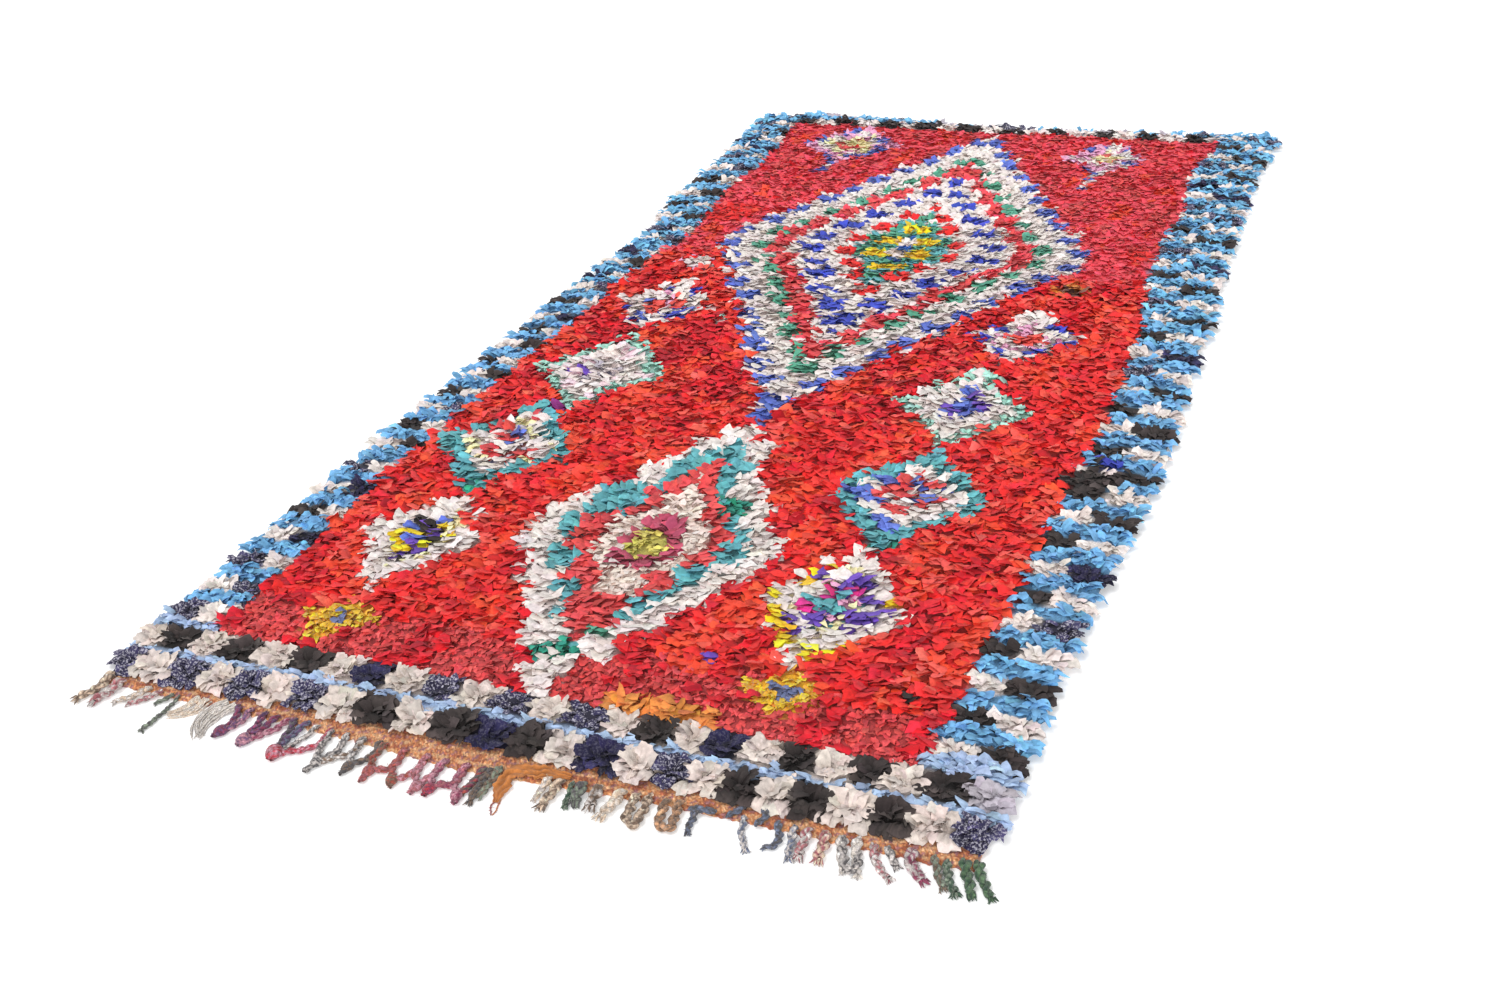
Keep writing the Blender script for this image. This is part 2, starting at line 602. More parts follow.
def paint_field(chart):
    """The red ground of the design, in the several reds of the rags at hand."""
    x, y = chart.x, chart.y
    tone = drift(x, y, 3, 0.11) + 0.8 * drift(x, y, 4, 0.035)
    everywhere = np.ones(len(x), bool)
    chart.paint(everywhere, "red")
    chart.paint(tone > 0.75, "orange_red")
    chart.paint((tone > 0.35) & (tone <= 0.75), "coral")
    chart.paint(tone < -0.85, "crimson")
    deep = (y > -0.30) & (y < 0.02) & (tone < 0.1)
    chart.paint(deep & (x < 0.30), "crimson")
    chart.paint((y > 0.36 + 0.05 * drift(x, y, 5, 0.2)) & (tone < 1.25), "rose")
    chart.paint((y > 0.36) & (tone < -0.8), "dusky")
    front = y < -1.045 + 0.02 * drift(x, y, 6, 0.15)
    chart.paint(front, "dusky")
    chart.paint(front & (tone < -0.9), "crimson")
    for spot_x, spot_y, spread in ((0.50, -0.16, 0.05), (0.475, 0.52, 0.03), (-0.46, 0.60, 0.06)):
        chart.paint(np.hypot(x - spot_x, y - spot_y) < spread, "red")
    chart.paint((np.abs(x - 0.17) < 0.088) & (np.abs(y + 1.145) < 0.011), "orange")
    chart.region[:] = np.searchsorted(FIELD_PARTS, y, side="right")


def paint_rings(chart, middle, rings, step, region):
    """A stepped lozenge of rings. Its edges step from row to row, and checks break some of its rings."""
    dx = chart.x - middle[0]
    dy = chart.y - middle[1]
    stepped = 0.25 * dy + 0.75 * (np.floor(dy / step) + 0.5) * step
    phase = dy / step - np.floor(dy / step)
    check = (phase > 0.2) & (phase < 0.8)
    for left, right, up, down, name, between in rings:
        across = np.where(dx < 0, left, right)
        along = np.where(dy > 0, up, down)
        ring = np.abs(dx) / across + np.abs(stepped) / along < 1
        chart.paint(ring, name)
        if between:
            chart.paint(ring & ~check, between)
        chart.region[ring] = region
        chart.heart[ring] = middle


def paint_lozenges(chart):
    """The large lozenge with the stem at its front tip, and the small one with its single patches."""
    x, y = chart.x, chart.y
    rings = [
        (*(share * reach for reach in LARGE_REACH), name, between)
        for share, name, between in LARGE_RINGS
    ]
    paint_rings(chart, LARGE_MIDDLE, rings, LARGE_STEP, REGIONS.index("large_lozenge"))
    stem = (np.abs(x + 0.008) < 0.012) & (y > -0.36) & (y < -0.25)
    chart.paint(stem, "outline")
    chart.region[stem] = REGIONS.index("large_lozenge")
    paint_rings(chart, SMALL_MIDDLE, SMALL_RINGS, SMALL_STEP, REGIONS.index("small_lozenge"))
    for at_x, at_y, half_x, half_y, name in SMALL_DETAILS:
        spot = ((x - at_x) / half_x) ** 2 + ((y - at_y) / half_y) ** 2 < 1
        chart.paint(spot, name)
        chart.region[spot] = REGIONS.index("small_lozenge")


def paint_motifs(chart):
    """The small motifs, each a diamond with an uneven rim and two rings inside it."""
    x, y = chart.x, chart.y
    for seed, (at_x, at_y, half_x, half_y, rim, inner, core) in enumerate(MOTIFS):
        radius = np.abs(x - at_x) / half_x + np.abs(y - at_y) / half_y
        radius = radius + 0.10 * np.sin(x * 160 + seed) * np.sin(y * 150 + seed)
        chart.paint_mixed(radius < 1, rim, 0.026, seed)
        chart.paint_mixed(radius < MOTIF_RINGS[0], inner, 0.022, seed + 40)
        chart.paint_mixed(radius < MOTIF_RINGS[1], core, 0.018, seed + 80)
        inside = (radius < 1) & (chart.region < REGIONS.index("large_lozenge"))
        chart.region[inside] = REGIONS.index("side_motifs")
        chart.heart[inside] = (at_x, at_y)


def paint_side(chart, right):
    """One side border: two columns of checks that change places from row to row, with blue between."""
    x, y = chart.x, chart.y
    column = 2 if right else 1
    inner = table(FIELD_SIDES, y, column)
    outer = table(SIDES, y, column)
    share = (x - inner) / (outer - inner)
    side = (share > 0) & (y > FIELD_FRONT) & (y < FIELD_FAR + 0.09)
    bands = RIGHT_BANDS if right else LEFT_BANDS
    count = np.interp(y, bands[:, 0], bands[:, 1])
    row = np.floor(count)
    phase = count - row
    is_band = (phase < BAND_SHARE / 2) | (phase > 1 - BAND_SHARE / 2)
    outside = share > 0.5
    dark = (row % 2 == 0) != outside
    chart.paint(side, "linen")
    tone = patch(row * 1.0 + 0.5, outside * 1.0 + 0.5, 1.0, 5 if right else 9)
    chart.paint(side & dark, "black")
    chart.paint(side & dark & (tone > (0.78 if right else 0.62)), "speckled")
    chart.paint(side & dark & (tone < (0.08 if right else 0.20)), "navy")
    chart.paint(side & is_band, "sky")
    chart.paint(side & is_band & (y > 0.10), "far_sky")
    chart.paint(side & is_band & (y < -1.10), "periwinkle")
    centre_y = np.interp(row + 0.5, bands[:, 1], bands[:, 0])
    centre_x = inner + (outer - inner) * np.where(outside, 0.76, 0.27)
    chart.middle[side, 0] = centre_x[side]
    chart.middle[side, 1] = centre_y[side]
    chart.middle[side & is_band] = np.nan
    chart.region[side] = REGIONS.index("border_right" if right else "border_left")


def paint_front(chart):
    """The front border: two rows of checks with a light blue band between them."""
    x, y = chart.x, chart.y
    front = y < FIELD_FRONT
    chart.paint(front, "periwinkle")
    for low, high, places, letters in FRONT_ROWS:
        nearest = np.abs(x[:, None] - np.array(places)[None, :]).argmin(axis=1)
        row = (y >= low) & (y <= high)
        for i, (place, letter) in enumerate(zip(places, letters)):
            check = row & (nearest == i)
            chart.paint(check, CHECK_COLOURS[letter])
            chart.middle[check] = (place, max((low + high) / 2, FRONT_MIDDLE))
    chart.region[front] = REGIONS.index("border_front")


def paint_far(chart):
    """The far border: one row of checks, a blue band and an uneven last row."""
    x, y = chart.x, chart.y
    inner = (x > table(FIELD_SIDES, y, 1)) & (x < table(FIELD_SIDES, y, 2))
    far = inner & (y > FIELD_FAR)
    place = (x - FAR_FROM) / FAR_PITCH
    dark = place - np.floor(place) < 0.5
    chart.paint(far, "far_sky")
    row = far & (y < FAR_ROW_END)
    chart.paint(row, "white")
    chart.paint(row & dark, "black")
    rim = far & (y > table(ENDS, x, 3) - 0.013)
    mix = patch(x, x * 0, 0.045, 2)
    chart.paint(rim & (mix < 0.30), "speckled")
    chart.paint(rim & (mix > 0.72), "grey")
    chart.region[far] = REGIONS.index("border_far")


def painted(x, y):
    """The whole design at these places. What is painted later covers what is there."""
    chart = Chart(x, y)
    paint_field(chart)
    paint_lozenges(chart)
    paint_side(chart, right=False)
    paint_side(chart, right=True)
    paint_front(chart)
    paint_far(chart)
    paint_motifs(chart)
    return chart


def knots():
    """Where the rags of each knot show, row by row. Past the ground's edges they hang over it."""
    rng = np.random.default_rng(5)
    places = []
    y = FIRST_ROW
    while y < 1.33:
        row, pitch = next((row, pitch) for limit, row, pitch in KNOT_ZONES if y < limit)
        x = np.arange(-0.70, 0.72, pitch) + rng.uniform(0, pitch)
        x = x + rng.uniform(-0.25, 0.25, len(x)) * pitch
        wander = 0.0012 if y < KNOT_ZONES[0][0] else 0.003
        along = y + 0.003 * np.sin(x * 5 + y * 3) + rng.normal(0, wander, len(x))
        keep = (x > table(SIDES, along, 1) - OVERHANG) & (x < table(SIDES, along, 2) + OVERHANG)
        keep &= (along > table(ENDS, x, 1) - OVERHANG * 0.35) & (along < table(ENDS, x, 3) + OVERHANG * 0.8)
        places.append(np.stack([x[keep], along[keep]], axis=1))
        y += row
    return np.concatenate(places)


def grow(chart, places, which, kind, rng):
    """The rag ends of these knots: where each starts, its heading, size and colour."""
    lengths, widths, rises, tips, crease, spread, ends, _ = KINDS[kind]
    index = np.repeat(which, ends)
    n = len(index)
    shown = places[index] + rng.normal(0, 0.0030, (n, 2))
    x, y = shown[:, 0], shown[:, 1]
    heading = -90 + 14 * drift(x, y, 12, 0.3) + rng.normal(0, spread, n)
    rise = rng.normal(*rises, n)
    tip = rng.normal(*tips, n)
    length = rng.uniform(*lengths, n) * (1 + 0.08 * drift(x, y, 13, 0.08)) / 1000
    width = rng.uniform(*widths, n) / 1000
    reach = SHOWN * length

    # The rags of a motif lean outwards from its middle
    heart = chart.heart[index]
    outwards = np.degrees(np.arctan2(y - heart[:, 1] - 0.03, x - heart[:, 0]))
    heading = heading + OUTWARD * np.where(np.isnan(outwards), 0, turn_between(heading, outwards))

    # Those of a band lie along it, to either side
    if kind in ("band", "ribbon"):
        side = rng.choice([0.0, 180.0], n)
        heading = side + rng.normal(-18, spread, n) * np.where(side > 0, -1, 1)

    # Those of one check spread from its middle like a rosette
    if kind in ("rosette", "ruffle"):
        middle = chart.middle[index]
        shown = middle + CHECK_SHARE * (shown - middle)
        x, y = shown[:, 0], shown[:, 1]
        away = shown - middle + rng.normal(0, 0.004, (n, 2))
        far_out = np.hypot(away[:, 0], away[:, 1])
        heading = np.degrees(np.arctan2(away[:, 1] - 0.009, away[:, 0])) + rng.normal(0, spread, n)
        reach = np.minimum(reach, far_out * 0.75)
        length = np.minimum(length, reach + 0.019)
        rise = rise + 8 - 500 * np.minimum(far_out, 0.03)

    # Near a rim the rags fall outwards and down
    for at, edge, side, droop in (
        # place, rim, heading out over it, how strongly they droop
        (x, table(SIDES, y, 1), 180, 1.0),
        (-x, -table(SIDES, y, 2), 0, 1.0),
        (y, table(ENDS, x, 1), -90, 1.7),
        (-y, -table(ENDS, x, 3), 90, 1.0),
    ):
        near = np.clip(1 - (at - edge) / RIM_WIDTH, 0, 1)
        goal = side + rng.normal(0, 26, n)
        heading = heading + near * turn_between(heading, goal)
        rise = rise - near * 14 * droop
        tip = tip - near * 30 * droop
        reach = np.where(near > 0.6, SHOWN * length, reach)

    turn = np.radians(heading)
    root_x = np.clip(x - reach * np.cos(turn), table(SIDES, y, 1) + 0.004, table(SIDES, y, 2) - 0.004)
    root_y = np.clip(y - reach * np.sin(turn), table(ENDS, x, 1) + 0.012, table(ENDS, x, 3) - 0.004)
    return dict(
        root=np.stack([root_x, root_y, np.full(n, GROUND_TOP - 0.001)], -1),
        heading=turn,
        rise=np.radians(rise),
        tip=np.radians(tip),
        length=length,
        width=width,
        roll=np.radians(rng.normal(0, 11, n)),
        crease=crease / 1000 * rng.uniform(0.6, 1.3, n),
        colour=chart.code[index],
    )


def rag_points(rags, rows, columns, rng):
    """The points of each rag: a strip pinched in its knot, creased along, with a roughly cut end."""
    n = len(rags["root"])
    v = np.linspace(0, 1, rows)
    u = np.linspace(-1, 1, columns)
    rise = rags["rise"][:, None] + (rags["tip"] - rags["rise"])[:, None] * v[None, :] ** 1.6
    rise = rise + rng.normal(0, 0.08, (n, rows))
    heading = rags["heading"][:, None] + rng.normal(0, 0.30, (n, 1)) * v[None, :] ** 2
    ahead = np.stack([np.cos(rise) * np.cos(heading), np.cos(rise) * np.sin(heading), np.sin(rise)], -1)
    run = ahead * (rags["length"] / (rows - 1))[:, None, None]
    run[:, 1:] = (run[:, 1:] + run[:, :-1]) / 2
    run[:, 0] = 0
    centre = rags["root"][:, None, :] + np.cumsum(run, axis=1)
    across = np.stack([-np.sin(heading), np.cos(heading), np.zeros_like(heading)], -1)
    over = np.cross(ahead, across)
    roll = rags["roll"][:, None, None] * v[None, :, None]
    rolled = across * np.cos(roll) + over * np.sin(roll)
    over = over * np.cos(roll) - across * np.sin(roll)
    across = rolled

    opened = 0.32 + 0.68 * np.minimum(v / 0.4, 1)
    half = rags["width"][:, None, None] / 2 * opened[None, :, None] * u[None, None, :]
    half = half + rng.normal(0, 0.035, (n, rows, columns)) * rags["width"][:, None, None]
    folds = np.where(np.arange(columns) % 2 == 0, 1.0, -1.0)[None, None, :]
    folds = folds * rng.choice([-1.0, 1.0], (n, 1, 1)) * (1.1 - 0.75 * v)[None, :, None]
    crumple = rng.normal(0, 0.30, (n, rows, columns)) * (0.3 + 0.7 * v)[None, :, None]
    cup = -0.9 * rng.uniform(-0.2, 1.0, (n, 1, 1)) * (u**2)[None, None, :] * v[None, :, None]
    offset = rags["crease"][:, None, None] * (folds + crumple + cup)
    points = centre[:, :, None, :] + across[:, :, None, :] * half[..., None]
    points = points + over[:, :, None, :] * offset[..., None]
    slant = rng.normal(0, 0.11, (n, 1)) * u[None, :]
    ragged = (rng.normal(0, 0.045, (n, columns)) + slant - 0.05 * u[None, :] ** 4) * rags["length"][:, None]
    points[:, -1] += ahead[:, -1, None, :] * ragged[..., None]
    return points


def settle(points, lowest):
    """Keeps the rags above the ground, the weave or the floor, and presses the tallest down."""
    z = points[..., 2]
    z = np.where(z < lowest, lowest + (lowest - z) * TURNED_UP, z)
    points[..., 2] = np.where(z > TALLEST, TALLEST + (z - TALLEST) * PRESSED_DOWN, z)


def deep_shares():
    """How much of its colour each rag shows deep in the pile, where pale ones are still clean."""
    share = 0.36 + 0.94 * PALETTE @ np.array((0.3, 0.6, 0.1))
    share[CODE["rose"]] = 1.0
    return share


def shade(rags, rows, columns, rng):
    """A colour for each point, from a rag's root in the pile to its worn tip. Each rag has its own tone."""
    n = len(rags["root"])
    which = rags["colour"]
    vivid = 1 - (PALETTE.min(axis=1) / PALETTE.max(axis=1))[which][:, None]
    dark = PALETTE.max(axis=1)[which][:, None] < 0.1
    tone = np.exp(rng.normal(0, 1, (n, 1)) * (0.08 + 0.12 * vivid**2 + 0.20 * dark))
    tone = tone * np.exp(rng.normal(0, 1, (n, 3)) * (0.02 + 0.12 * vivid**8))
    colour = PALETTE[which] * tone
    pale = 0.45 * colour + 0.55 * colour.mean(axis=1)[:, None] + 0.12
    colour = colour + FADED * rng.beta(1.3, 4.5, (n, 1)) * (pale - colour)
    deep = deep_shares()[which][:, None]
    tip = 1.03 + 0.24 * vivid
    depth = deep + (tip - deep) * np.linspace(0, 1, rows)[None, :]
    printed = np.array([PRINTED.get(name, 0.0) for name in NAMES])
    out = np.empty((n, rows, columns, 4))
    out[..., :3] = np.clip(colour[:, None, None, :] * depth[:, :, None, None], 0, 0.95)
    out[..., 3] = printed[which][:, None, None]
    return out


def cells(n, rows, columns, first, side):
    """A cell of the texture square for each rag from the first one on, so that no two rags share one."""
    u = np.linspace(0.08, 0.92, columns)
    v = np.linspace(0.08, 0.92, rows)
    at = np.arange(n) + first
    out = np.empty((n, rows, columns, 2))
    out[..., 0] = ((at % side)[:, None, None] + u[None, None, :]) / side
    out[..., 1] = ((at // side)[:, None, None] + v[None, :, None]) / side
    return out


def quads(n, rows, columns):
    """Corner numbers of the faces of n strips."""
    one = np.arange(rows * columns).reshape(rows, columns)
    face = np.stack([one[:-1, :-1], one[:-1, 1:], one[1:, 1:], one[1:, :-1]], -1).reshape(-1, 4)
    return (face[None] + (np.arange(n) * rows * columns)[:, None, None]).reshape(-1, 4)


def mesh_object(name, points, faces, colours, material, cell=None):
    """A smooth mesh object from arrays, with its colours and, where given, its texture cells."""
    mesh = bpy.data.meshes.new(name)
    mesh.vertices.add(len(points))
    mesh.vertices.foreach_set("co", np.ascontiguousarray(points, np.float32).ravel())
    mesh.loops.add(faces.size)
    mesh.loops.foreach_set("vertex_index", faces.astype(np.int32).ravel())
    mesh.polygons.add(len(faces))
    mesh.polygons.foreach_set("loop_start", np.arange(0, faces.size, faces.shape[1], dtype=np.int32))
    mesh.polygons.foreach_set("use_smooth", np.ones(len(faces), bool))
    mesh.update(calc_edges=True)
    layer = mesh.color_attributes.new("tint", "FLOAT_COLOR", "POINT")
    layer.data.foreach_set("color", np.ascontiguousarray(colours, np.float32).ravel())
    if cell is not None:
        uv = mesh.uv_layers.new(name="OFBake")
        uv.data.foreach_set("uv", np.ascontiguousarray(cell[faces.ravel()], np.float32).ravel())
    obj = bpy.data.objects.new(name, mesh)
    bpy.context.scene.collection.objects.link(obj)
    mesh.materials.append(material)
    return obj


def kinds_of(chart):
    """The kind of rag in each knot. A later line goes before an earlier one."""
    far = chart.y > FINE_FROM
    check = ~np.isnan(chart.middle[:, 0])
    front = chart.region == REGIONS.index("border_front")
    border = chart.region >= REGIONS.index("border_left")
    kind = np.full(len(chart.x), "petal", dtype=object)
    kind[~np.isnan(chart.heart[:, 0])] = "leaf"
    kind[np.isin(chart.code, [CODE[name] for name in BRUSHED])] = "brush"
    kind[np.isin(chart.code, [CODE[name] for name in PLEATED])] = "pleat"
    kind[far] = "fine"
    kind[(chart.code == CODE["dusky"]) & (chart.y < -1.0)] = "pleat"
    kind[border & ~check] = "band"
    kind[front & ~check] = "ribbon"
    kind[check] = "rosette"
    kind[check & ~front] = "ruffle"
    kind[check & (chart.code == CODE["speckled"])] = "ruffle"
    return kind


def pile_pieces(material):
    """The pile, one piece for each region of the design."""
    places = knots()
    chart = painted(places[:, 0], places[:, 1])
    kind = kinds_of(chart)
    pieces = []
    for number, region in enumerate(REGIONS):
        rng = np.random.default_rng(100 + number)
        parts = []
        for name, form in KINDS.items():
            which = np.flatnonzero((chart.region == number) & (kind == name))
            if len(which):
                parts.append(rag_mesh(grow(chart, places, which, name, rng), *form[-1], rng))
        pieces.append(joined("pile_" + region, parts, material))
    return pieces


def rag_mesh(rags, rows, columns, rng):
    """The points and colours of these rags, once they lie on what is below them."""
    points = rag_points(rags, rows, columns, rng)
    x, y = points[..., 0], points[..., 1]
    on_weave = y < table(ENDS, x, 1)
    past = (x < table(SIDES, y, 1)) | (x > table(SIDES, y, 2)) | (y > table(ENDS, x, 3))
    past |= y < table(ENDS, x, 2)
    lowest = np.where(on_weave & ~past, WEAVE_TOP, np.where(past, FLOOR_GAP, GROUND_TOP - 0.001))
    settle(points, lowest)
    return points, shade(rags, rows, columns, rng)


def joined(name, parts, material):
    """One mesh object of several sets of rags, each rag in a texture cell of its own."""
    side = math.ceil(math.sqrt(sum(len(points) for points, _ in parts)))
    faces = []
    cell = []
    rags = 0
    start = 0
    for points, _ in parts:
        n, rows, columns = points.shape[:3]
        faces.append(quads(n, rows, columns) + start)
        cell.append(cells(n, rows, columns, rags, side).reshape(-1, 2))
        rags += n
        start += n * rows * columns
    return mesh_object(
        name,
        np.concatenate([points.reshape(-1, 3) for points, _ in parts]),
        np.concatenate(faces),
        np.concatenate([colours.reshape(-1, 4) for _, colours in parts]),
        material,
        np.concatenate(cell),
    )


def tube(path, radius, toward, sides, squeeze):
    """Rings round a path. By squeeze they are lower than wide, and toward is the way they are low in."""
    ahead = np.gradient(path, axis=0)
    ahead /= np.linalg.norm(ahead, axis=1)[:, None]
    side = np.cross(ahead, np.broadcast_to(toward, path.shape))
    side /= np.linalg.norm(side, axis=1)[:, None]
    over = np.cross(side, ahead)
    turn = np.linspace(0, 2 * math.pi, sides, endpoint=False)[None, :, None]
    ring = np.cos(turn) * side[:, None, :] + squeeze * np.sin(turn) * over[:, None, :]
    return path[:, None, :] + ring * radius[:, None, None]


def tube_faces(rings, sides):
    """Corner numbers of a tube's faces."""
    i = np.arange(rings - 1)[:, None]
    j = np.arange(sides)[None, :]
    after = (j + 1) % sides
    face = np.stack([i * sides + j, i * sides + after, (i + 1) * sides + after, (i + 1) * sides + j], -1)
    return face.reshape(-1, 4)


def lift_of(line):
    """How much higher than on the floor a cord lies where it comes down from the weave."""
    return ON_WEAVE * (1 - np.clip((table(ENDS, line[:, 0], 2) - line[:, 1]) / 0.012, 0, 1))


class Yarn:
    """Gathers the points, faces and colours of many twisted cords into one piece."""

    def __init__(self, seed):
        self.rng = np.random.default_rng(seed)
        self.points = []
        self.faces = []
        self.colours = []
        self.start = 0

    def add(self, path, radius, toward, sides, squeeze, colour):
        """One strand, with a colour for each point of its rings."""
        points = tube(path, radius, toward, sides, squeeze).reshape(-1, 3)
        points[:, 2] = np.maximum(points[:, 2], LOWEST)
        rgba = np.zeros((len(points), 4))
        rgba[:, :3] = colour
        self.points.append(points)
        self.faces.append(tube_faces(len(path), sides) + self.start)
        self.colours.append(rgba)
        self.start += len(points)

    def tint(self, name, count):
        """That many uneven tones of one colour."""
        spread = np.exp(self.rng.normal(0, 0.30, (count, 1)))
        return np.clip(linear(COLOURS[name])[None, :] * spread, 0, 0.9)

    def ply(self, path, radius, names, toward=UP, squeeze=0.75):
        """One ply, mostly of its own colour, with flecks of the other ply's."""
        count = len(path) * PLY_SIDES
        own = self.tint(names[0], count)
        other = self.tint(names[1], count)
        fleck = self.rng.random((count, 1)) < FLECKS
        self.add(path, radius, toward, PLY_SIDES, squeeze, np.where(fleck, other, own))

    def hair(self, path, radius, name, toward=UP):
        """A fine end or fibre of one colour."""
        colour = self.tint(name, len(path))
        self.add(path, radius, toward, 3, 1.0, np.repeat(colour, 3, axis=0))

    def cords(self, rows, frayed=False):
        """A cord for each row of a table."""
        for first, second, width, tip, route in rows:
            self.cord((first, second), width, tip, route, frayed)

    def cord(self, names, width, tip, route, frayed=False):
        """Two plies twisted about a smooth route that comes down from the weave to the floor."""
        rng = self.rng
        line = smooth(np.array(route) / 1000, CORD_STEP)
        n = len(line)
        along = np.linspace(0, 1, n)
        reach = distances(line)
        wide = CORD_SCALE * (width + (tip - width) * along) / 1000
        wide = wide * (1 + 0.08 * np.sin(reach * 700 + rng.uniform(0, 6)))
        wide *= np.minimum(1, 0.55 + reach / 0.02)
        ahead, side = directions(line)
        line = line + side * (0.0008 * np.sin(reach * 240 + rng.uniform(0, 6)))[:, None]
        rest = 0.0005 + 0.36 * wide
        height = rest + lift_of(line)
        twist = reach * 2 * math.pi / (1.9 * np.mean(wide) + 0.004) + rng.uniform(0, 6)
        for ply in range(2):
            angle = twist + ply * math.pi
            path = np.zeros((n, 3))
            path[:, :2] = line + side * (0.24 * wide * np.cos(angle))[:, None]
            path[:, 2] = height + 0.15 * wide * np.sin(angle)
            radius = 0.275 * wide * np.where(along > 0.96, 0.7, 1.0)
            self.ply(path, radius, (names[ply], names[1 - ply]))
        if frayed:
            self.fray(names, np.array((*line[-1], rest[-1])), ahead[-1], wide[-1])
        self.fuzz(names, line, height, wide)

    def lock(self, names, width, tip, route):
        """Unspun wool: fine wavy strands side by side that draw together towards the tip."""
        rng = self.rng
        line = smooth(np.array(route) / 1000, LOCK_STEP)
        n = len(line)
        along = np.linspace(0, 1, n)
        _, side = directions(line)
        wide = CORD_SCALE * (width + (tip - width) * along) / 1000
        for strand in range(LOCK_STRANDS):
            share = rng.uniform(-0.5, 0.5)
            wave = 0.0009 * np.sin(along * rng.uniform(9, 16) + rng.uniform(0, 6))
            stop = n - rng.integers(0, 5)
            crown = 0.30 * wide * rng.uniform(0, 1) * (1 - 4 * share**2)
            path = np.zeros((n, 3))
            path[:, :2] = line + side * (share * wide + wave)[:, None]
            path[:, 2] = FLOOR_GAP + lift_of(line) + crown
            radius = 0.0014 * np.sqrt(np.clip(1.05 - along * n / stop, 0.02, 1))
            order = names if strand % 3 else names[::-1]
            self.ply(path[:stop], radius[:stop], order, squeeze=1.0)

    def fray(self, names, end, ahead, width):
        """Loose ends of yarn at the tip of a cord."""
        rng = self.rng
        base = math.atan2(ahead[1], ahead[0])
        side = np.array((-ahead[1], ahead[0]))
        steps = np.linspace(0, 1, 4)
        for i in range(FRAYED_ENDS):
            share = (i + 0.5) / FRAYED_ENDS * 2 - 1
            angle = base + share * 0.45 + rng.normal(0, 0.15)
            length = width * rng.uniform(0.35, 0.80)
            turn = angle + rng.normal(0, 0.5) * steps
            run = np.cumsum(np.stack([np.cos(turn), np.sin(turn)], -1) * length / 3, axis=0)
            run -= run[0]
            path = np.zeros((4, 3))
            path[:, :2] = end[:2] + side * share * width * 0.36 + run
            path[:, 2] = np.maximum(end[2] * (1 - 0.6 * steps) + rng.normal(0, 0.0006), 0.0009)
            self.hair(path, width * np.array((0.13, 0.11, 0.08, 0.03)), names[i % len(names)])

    def fuzz(self, names, line, height, width):
        """Stray fibres that stand out of a cord."""
        rng = self.rng
        for _ in range(STRAY_FIBRES):
            i = rng.integers(2, len(line) - 1)
            turn = rng.uniform(0, 2 * math.pi)
            lift = rng.uniform(-0.1, 0.7)
            away = np.array((math.cos(turn), math.sin(turn), lift))
            start = np.array((*line[i], height[i])) + away * width[i] * 0.36
            path = start + away * np.linspace(0, rng.uniform(0.0015, 0.004), 3)[:, None]
            path[:, :2] += rng.normal(0, 0.0004, (3, 2))
            toward = UP if abs(lift) < 0.6 else np.array((1.0, 0.0, 0.0))
            self.hair(path, np.array((0.00032, 0.00025, 0.0001)), names[0], toward)

    def knot(self, names, x, y, size, tail):
        """An overhand knot with its tail: turns of both plies wound about the cord, flattened below."""
        rng = self.rng
        middle = np.array((x, y)) / 1000
        ahead = np.array(tail) / 1000 - middle
        ahead /= np.linalg.norm(ahead)
        side = np.array((-ahead[1], ahead[0]))
        size = KNOT_SCALE * size / 1000
        turns = np.linspace(0, 1, 44)
        radius = 0.27 * size * (0.62 + 0.38 * np.sin(turns * math.pi))
        for ply in range(2):
            angle = turns * 2 * math.pi * 2.3 + ply * math.pi + rng.uniform(0, 1)
            place = (turns - 0.5) * size * 0.62 + 0.0012 * np.sin(angle * 2)
            path = np.zeros((len(turns), 3))
            path[:, :2] = middle + ahead * place[:, None] + side * (radius * np.cos(angle))[:, None]
            path[:, 2] = 0.0005 + 0.24 * size + 0.62 * radius * np.sin(angle)
            thick = np.full(len(turns), 0.165 * size)
            self.ply(path, thick, (names[ply], names[1 - ply]), np.array((*ahead, 0.0)), 1.0)
        start = middle + ahead * size * 0.2
        self.cord(names, size * 1000 * 0.52, size * 1000 * 0.40, (tuple(start * 1000), tuple(tail)))

    def piece(self, name, material):
        """All the strands so far as one object."""
        gathered = (np.concatenate(part) for part in (self.points, self.faces, self.colours))
        return mesh_object(name, *gathered, material)


def smooth(points, step):
    """Points about every step along a smooth curve through the given ones."""
    points = np.asarray(points, float)
    chord = distances(points)
    at = np.linspace(0, chord[-1], max(5, int(chord[-1] / step)))
    if len(points) == 2:
        return np.stack([np.interp(at, chord, points[:, 0]), np.interp(at, chord, points[:, 1])], -1)
    slope = np.gradient(points, chord, axis=0)
    seg = np.clip(np.searchsorted(chord, at, side="right") - 1, 0, len(points) - 2)
    gap = (chord[seg + 1] - chord[seg])[:, None]
    t = (at - chord[seg])[:, None] / gap
    return (
        (2 * t**3 - 3 * t**2 + 1) * points[seg]
        + (t**3 - 2 * t**2 + t) * gap * slope[seg]
        + (3 * t**2 - 2 * t**3) * points[seg + 1]
        + (t**3 - t**2) * gap * slope[seg + 1]
    )


